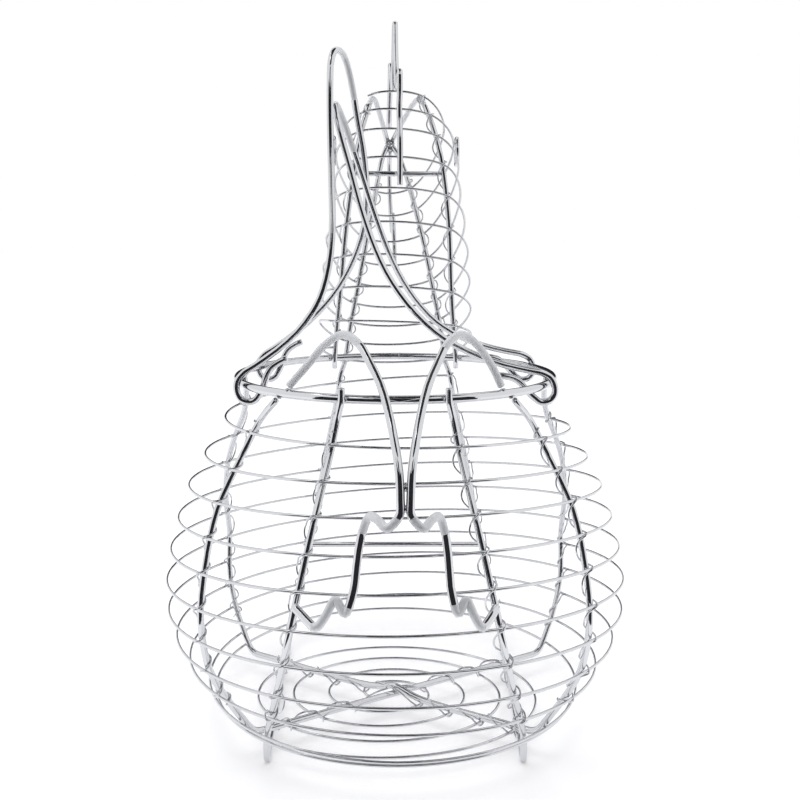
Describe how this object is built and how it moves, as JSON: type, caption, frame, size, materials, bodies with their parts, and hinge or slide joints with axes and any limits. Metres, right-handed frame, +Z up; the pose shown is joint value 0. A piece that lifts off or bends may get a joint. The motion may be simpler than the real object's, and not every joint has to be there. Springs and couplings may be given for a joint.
{
  "type": "wire egg basket",
  "caption": "Hen-shaped egg basket of bent and wound chromed wire, with an open neck and head, a looped tail and two folding wire handles.",
  "frame": {"origin": "bottom centre of the bounding box, on the surface that the feet stand on", "axes": "+X to the right as seen from behind the tail, +Y towards the beak, +Z up"},
  "size_m": [0.207, 0.2416, 0.3319],
  "materials": {
    "heavy_wire": "polished",
    "thin_wire": "polished"
  },
  "bodies": {
    "basket": {"rim_ring": "heavy_wire", "right_long_rib": "heavy_wire", "left_long_rib": "heavy_wire", "right_neck_rib": "heavy_wire", "left_neck_rib": "heavy_wire", "lower_cross_rib": "heavy_wire", "upper_cross_rib": "heavy_wire", "breast_bar": "heavy_wire", "head_bar": "heavy_wire", "body_winding": "thin_wire", "base_spiral": "thin_wire", "neck_winding": "thin_wire", "comb": "heavy_wire", "wattle": "heavy_wire", "right_eye": "heavy_wire", "left_eye": "heavy_wire", "right_tail_wire": "heavy_wire", "left_tail_wire": "heavy_wire"},
    "left_bail": {"left_handle": "heavy_wire"},
    "right_bail": {"right_handle": "heavy_wire"}
  },
  "joints": [
    {"name": "left_handle_hinge", "type": "hinge", "parent": "basket", "child": "left_bail", "pos_m": [-0.06345, -0.00142, 0.15], "axis": [0, -1, 0], "range_deg": [0, 173]},
    {"name": "right_handle_hinge", "type": "hinge", "parent": "basket", "child": "right_bail", "pos_m": [0.06349, -0.00142, 0.15], "axis": [0, 1, 0], "range_deg": [0, 195]}
  ]
}
